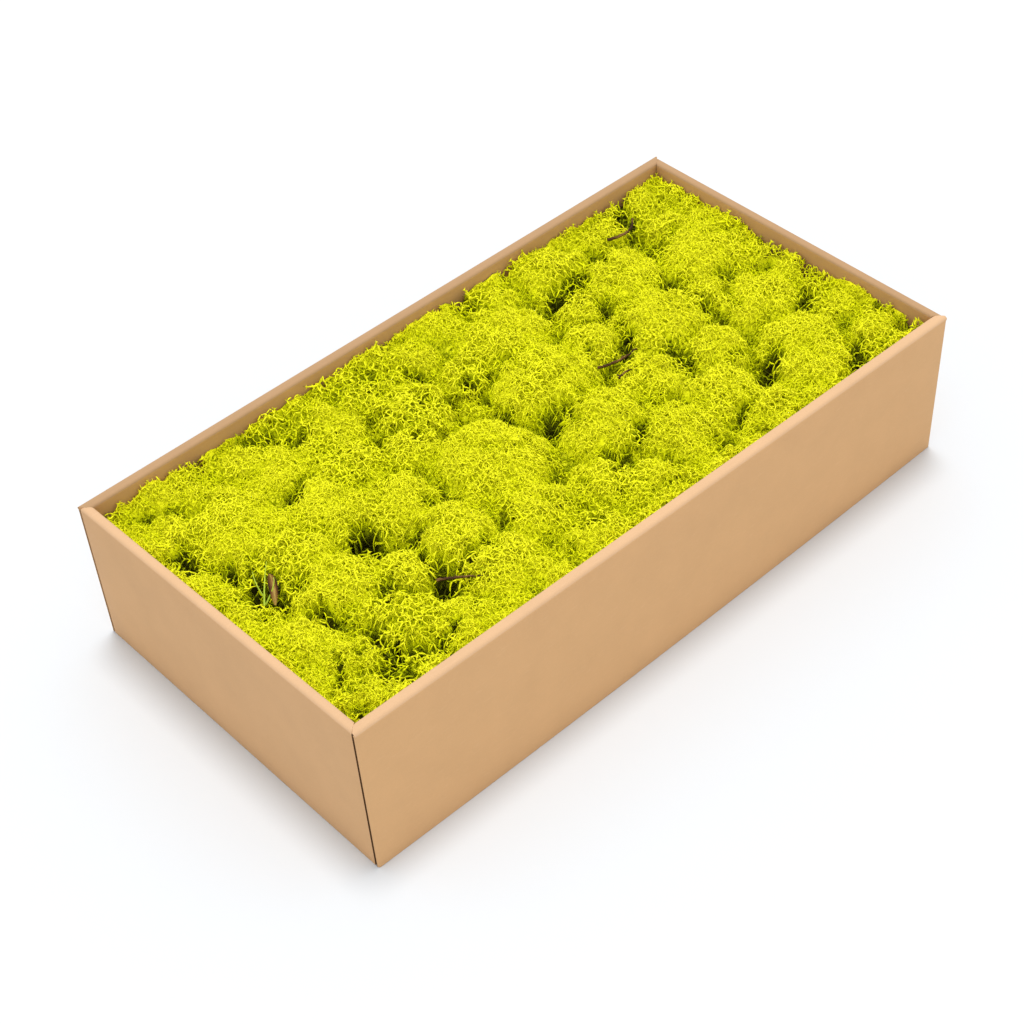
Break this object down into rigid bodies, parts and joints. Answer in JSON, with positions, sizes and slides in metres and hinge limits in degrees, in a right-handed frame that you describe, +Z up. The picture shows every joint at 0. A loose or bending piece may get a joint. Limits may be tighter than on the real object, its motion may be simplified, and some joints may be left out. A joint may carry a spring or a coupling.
{
  "type": "tray of reindeer moss clumps",
  "caption": "Low folding tray of kraft board filled to the rim with springy chartreuse clumps of preserved reindeer moss.",
  "frame": {"origin": "centre of the tray's underside, on the surface it stands on", "axes": "+X along the long walls, +Y across from the near long wall to the far one, +Z up"},
  "size_m": [0.401, 0.212, 0.092],
  "materials": {
    "kraft_outside": "matte",
    "kraft_inside": "matte",
    "moss": "matte",
    "twig": "matte",
    "dry_leaf": "matte"
  },
  "bodies": {
    "root": {"base_panel": "kraft_inside", "near_long_wall_outer_panel": "kraft_outside", "near_long_wall_inner_panel": "kraft_inside", "near_long_wall_rim": "kraft_outside", "far_long_wall_outer_panel": "kraft_outside", "far_long_wall_inner_panel": "kraft_inside", "far_long_wall_rim": "kraft_outside", "left_end_wall_outer_panel": "kraft_outside", "left_end_wall_inner_panel": "kraft_inside", "left_end_wall_rim": "kraft_outside", "right_end_wall_outer_panel": "kraft_outside", "right_end_wall_inner_panel": "kraft_inside", "right_end_wall_rim": "kraft_outside", "corner_flap_left_near": "kraft_inside", "corner_flap_left_far": "kraft_inside", "corner_flap_right_near": "kraft_inside", "corner_flap_right_far": "kraft_inside", "moss_clump_01": "moss", "moss_clump_02": "moss", "moss_clump_03": "moss", "moss_clump_04": "moss", "moss_clump_05": "moss", "moss_clump_06": "moss", "moss_clump_07": "moss", "moss_clump_08": "moss", "moss_clump_09": "moss", "moss_clump_10": "moss", "moss_clump_11": "moss", "moss_clump_12": "moss", "moss_clump_13": "moss", "moss_clump_14": "moss", "moss_clump_15": "moss", "moss_clump_16": "moss", "moss_clump_17": "moss", "moss_clump_18": "moss", "moss_clump_19": "moss", "moss_clump_20": "moss", "moss_clump_21": "moss", "moss_clump_22": "moss", "moss_clump_23": "moss", "moss_clump_24": "moss", "moss_clump_25": "moss", "moss_clump_26": "moss", "moss_clump_27": "moss", "moss_clump_28": "moss", "moss_clump_29": "moss", "moss_clump_30": "moss", "moss_clump_31": "moss", "moss_clump_32": "moss", "moss_clump_33": "moss", "moss_clump_34": "moss", "moss_clump_35": "moss", "moss_clump_36": "moss", "moss_clump_37": "moss", "moss_clump_38": "moss", "twig_left": "twig", "twig_middle": "twig", "twig_short": "twig", "twig_far": "twig", "dry_leaf": "dry_leaf"}
  },
  "joints": []
}
